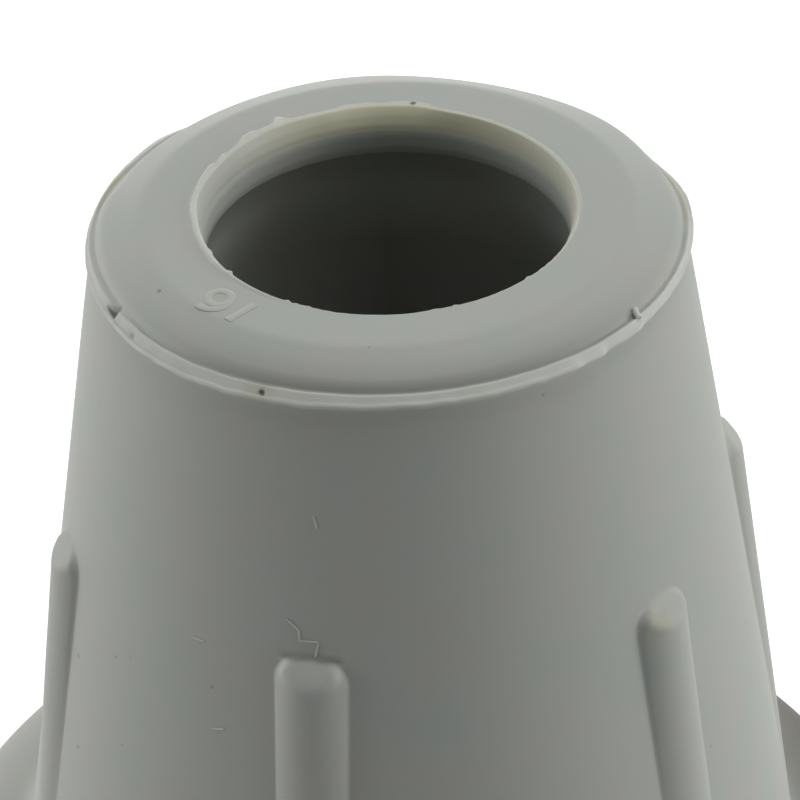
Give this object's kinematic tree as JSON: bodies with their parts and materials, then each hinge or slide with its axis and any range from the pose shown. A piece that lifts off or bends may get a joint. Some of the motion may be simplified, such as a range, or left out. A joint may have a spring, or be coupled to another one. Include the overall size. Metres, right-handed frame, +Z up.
{
  "type": "rubber cane tip",
  "caption": "Tapered rubber tip for a cane or crutch tube, with grip ribs, a domed foot with a ringed tread, and a blind bore behind a neck ring.",
  "frame": {"origin": "middle of the underside, on the ground plane", "axes": "+Z up along the tube's axis, out of the bore's mouth; -Y is the front, with a rib 15.5 degrees to its left"},
  "size_m": [0.0536, 0.0536, 0.053],
  "materials": {
    "rubber": "matte moulded grey rubber with a faint moulding bloom"
  },
  "bodies": {
    "root": {"cane_tip": "rubber"}
  },
  "joints": []
}
